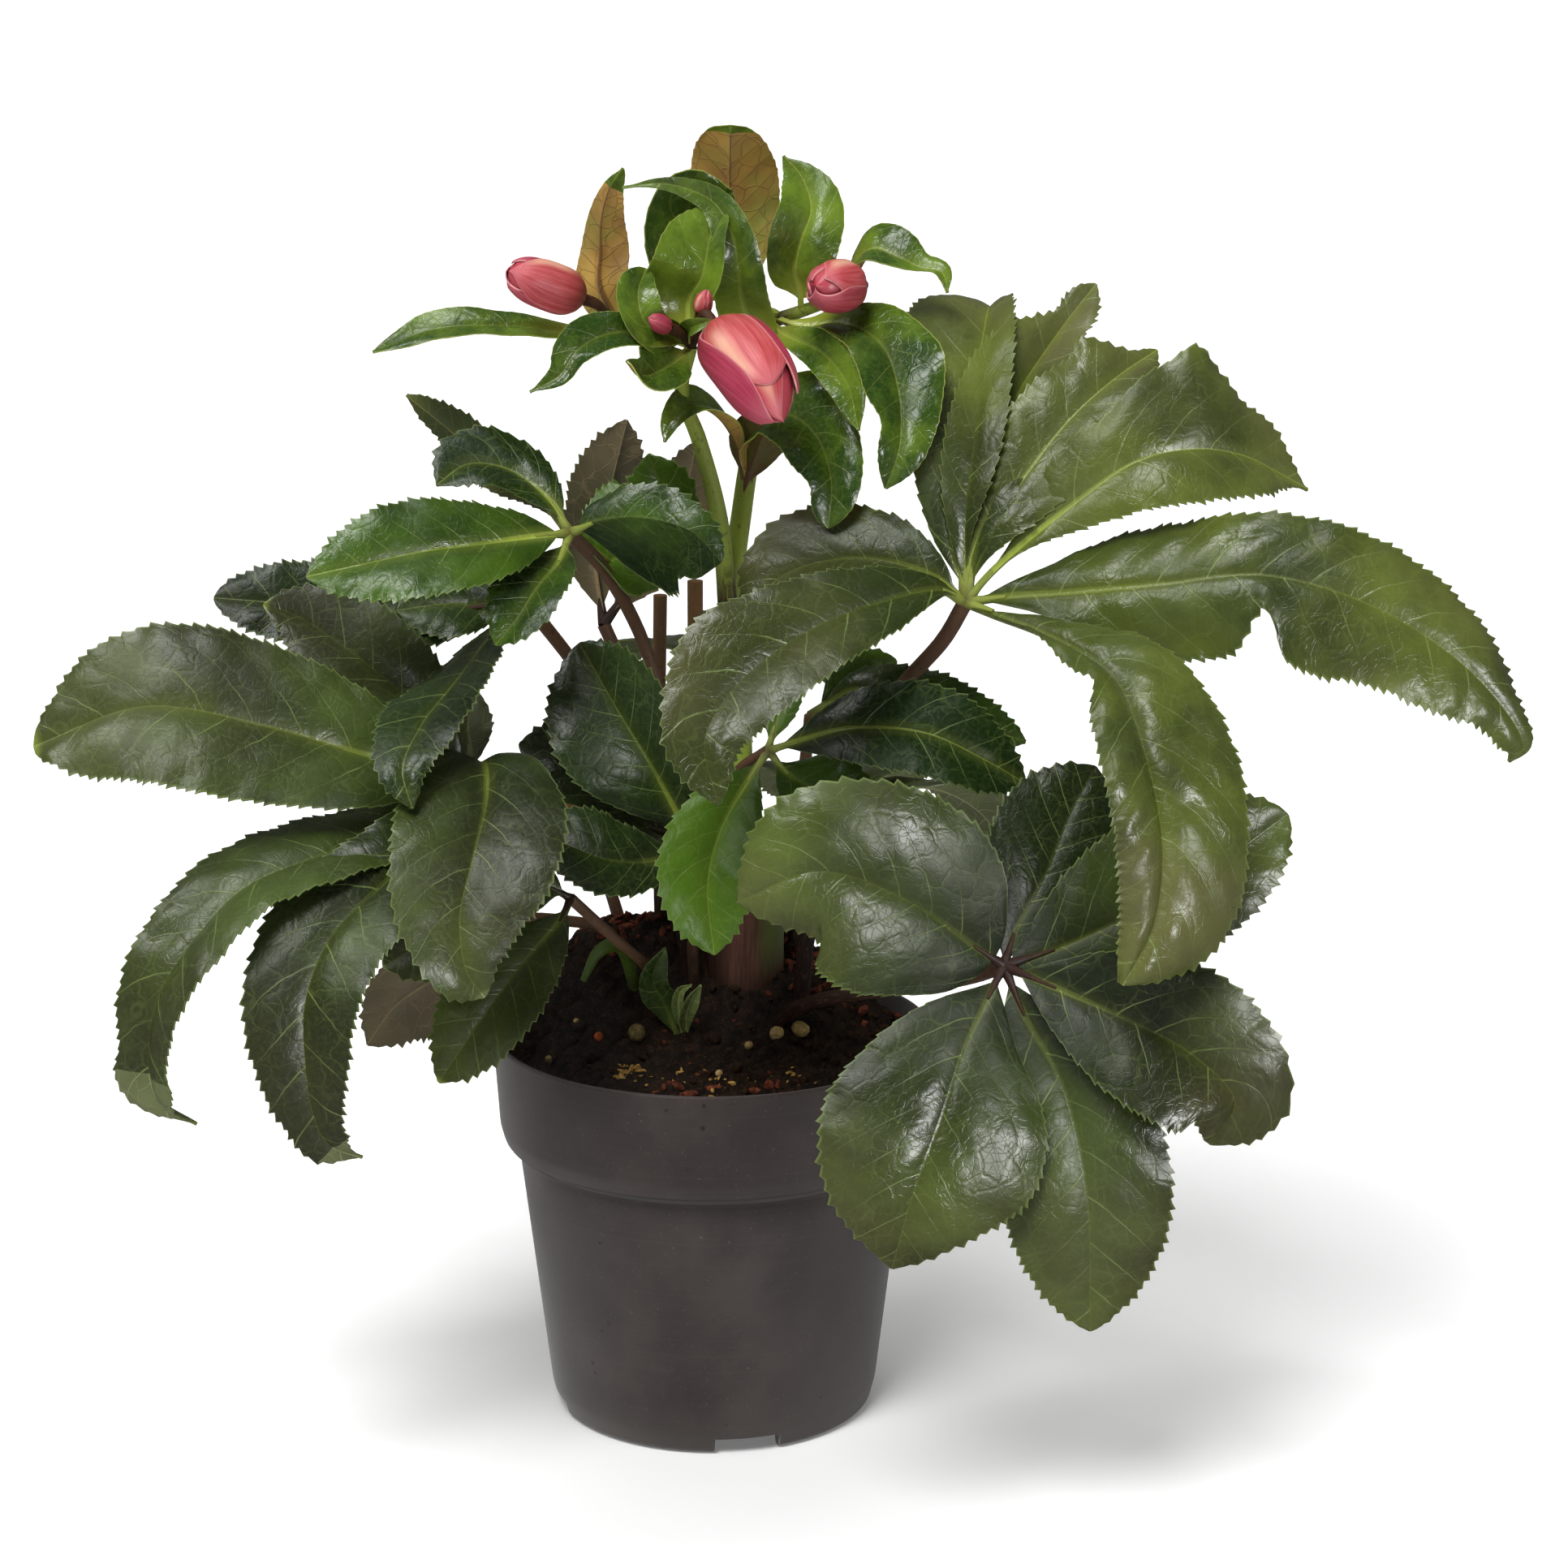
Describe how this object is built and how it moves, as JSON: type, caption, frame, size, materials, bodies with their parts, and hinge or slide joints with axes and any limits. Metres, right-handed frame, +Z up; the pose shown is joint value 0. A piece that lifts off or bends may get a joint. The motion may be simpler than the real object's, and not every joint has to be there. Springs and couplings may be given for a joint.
{
  "type": "potted hellebore",
  "caption": "Young hellebore in a round nursery pot: fans of toothed, leathery dark green leaflets, a flowering stem with bright bracts and pink buds, on peat.",
  "frame": {"origin": "middle of the pot's underside, on the plane that the pot stands on", "axes": "+Z up; +X towards the longest spread of the leaves, to the right of someone who looks at the plant's best side; that side faces -Y"},
  "size_m": [0.441, 0.2734, 0.4104],
  "materials": {
    "pot_plastic": "dark warm grey moulded plastic, satin, a little dusty",
    "soil": "dark peat with bark crumbs, matt",
    "leaf_green": "dark green leaf, satin to glossy, pale veins",
    "leaf_inner": "very dark glossy green leaf",
    "leaf_bright": "bright green young leaf, glossy",
    "leaf_young": "yellow-green young leaf",
    "leaf_back": "brown-olive leaf underside, matt",
    "bract_green": "bright green bract with pale edges, glossy",
    "bud_pink": "pink-magenta sepals with cream streaks, satin",
    "stalk_brown": "dry brown cut stalk, matt"
  },
  "bodies": {
    "root": {"pot": "pot_plastic", "soil": "soil", "leaf_upper_right": "leaf_green", "leaf_lower_right": "leaf_green", "leaf_left": "leaf_green", "leaf_upper_left": "leaf_bright", "leaf_inner_left": "leaf_inner", "leaf_centre": "leaf_bright", "leaf_low_left": "leaf_green", "leaf_back_low_left": "leaf_back", "leaf_back_left": "leaf_green", "leaf_back_right": "leaf_young", "leaf_back_centre": "leaf_back", "leaf_rear_right": "leaf_green", "leaf_rear_left": "leaf_green", "leaf_rear_top": "leaf_green", "flowering_stem": "bract_green", "bud_centre": "bud_pink", "bud_small": "bud_pink", "bud_brown": "bud_pink", "bud_left": "bud_pink", "bud_right": "bud_pink", "cut_stalk_right": "stalk_brown", "cut_stalk_left": "stalk_brown", "sprout": "leaf_inner", "shoot": "leaf_young"}
  },
  "joints": []
}
